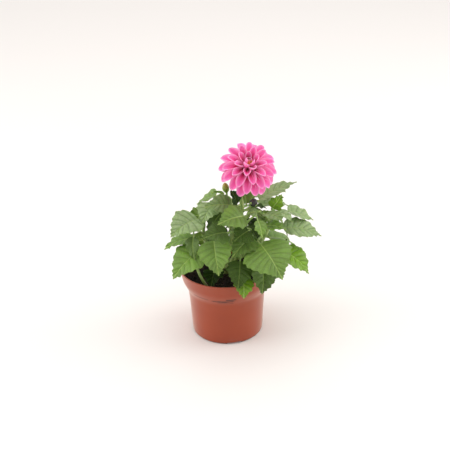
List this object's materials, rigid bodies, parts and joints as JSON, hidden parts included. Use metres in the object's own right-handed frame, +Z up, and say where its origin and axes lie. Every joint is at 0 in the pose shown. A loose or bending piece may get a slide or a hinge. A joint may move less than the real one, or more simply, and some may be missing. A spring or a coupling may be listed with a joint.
{
  "type": "potted dahlia",
  "caption": "Dwarf bedding dahlia in flower: one double pink bloom above toothed green leaves, growing in compost in a flared terracotta-coloured plastic pot.",
  "frame": {"origin": "centre of the underside of the pot", "axes": "+Z up through the pot's axis, the bloom looks towards -Y, X to the right as seen from the front"},
  "size_m": [0.1976, 0.1716, 0.2556],
  "materials": {
    "pot": "satin terracotta-coloured moulded plastic",
    "soil": "dark crumbly peat compost",
    "stem": "smooth pale green stem",
    "leaf": "soft green leaf with pale veins",
    "petal": "soft pink petal, deeper towards its base",
    "calyx": "smooth green bracts",
    "bud_green": "yellow-green closed bud",
    "bud_dark": "dark red-brown closed bud"
  },
  "bodies": {
    "root": {"pot": "pot", "soil": "soil", "stems": "stem", "basal_stem": "stem", "leaf_arching_top": "leaf", "leaf_back_1": "leaf", "leaf_back_10": "leaf", "leaf_back_11": "leaf", "leaf_back_12": "leaf", "leaf_back_13": "leaf", "leaf_back_2": "leaf", "leaf_back_3": "leaf", "leaf_back_4": "leaf", "leaf_back_5": "leaf", "leaf_back_6": "leaf", "leaf_back_7": "leaf", "leaf_back_8": "leaf", "leaf_back_9": "leaf", "leaf_back_top": "leaf", "leaf_behind_stem": "leaf", "leaf_below_centre_right": "leaf", "leaf_beside_long": "leaf", "leaf_bright_left": "leaf", "leaf_bright_right": "leaf", "leaf_bright_top": "leaf", "leaf_centre_drooping": "leaf", "leaf_centre_left": "leaf", "leaf_centre_right": "leaf", "leaf_curled_left": "leaf", "leaf_grey_left": "leaf", "leaf_inner_centre": "leaf", "leaf_inner_left": "leaf", "leaf_inner_low_right": "leaf", "leaf_inner_right": "leaf", "leaf_inner_top": "leaf", "leaf_inner_upper_right": "leaf", "leaf_large_right": "leaf", "leaf_left_drooping": "leaf", "leaf_left_narrow": "leaf", "leaf_long_right": "leaf", "leaf_low_centre": "leaf", "leaf_low_far_left": "leaf", "leaf_low_front": "leaf", "leaf_low_left": "leaf", "leaf_low_right": "leaf", "leaf_low_shaded": "leaf", "leaf_middle": "leaf", "leaf_middle_dark": "leaf", "leaf_small_grey": "leaf", "leaf_top_left": "leaf", "leaf_top_right": "leaf", "leaf_under_bloom": "leaf", "leaf_upper_left": "leaf", "leaf_upper_right": "leaf", "leaf_upright_small": "leaf", "bloom": "petal", "calyx": "calyx", "bud_left": "bud_green", "bud_dark": "bud_dark", "bud_back": "bud_green"}
  },
  "joints": []
}
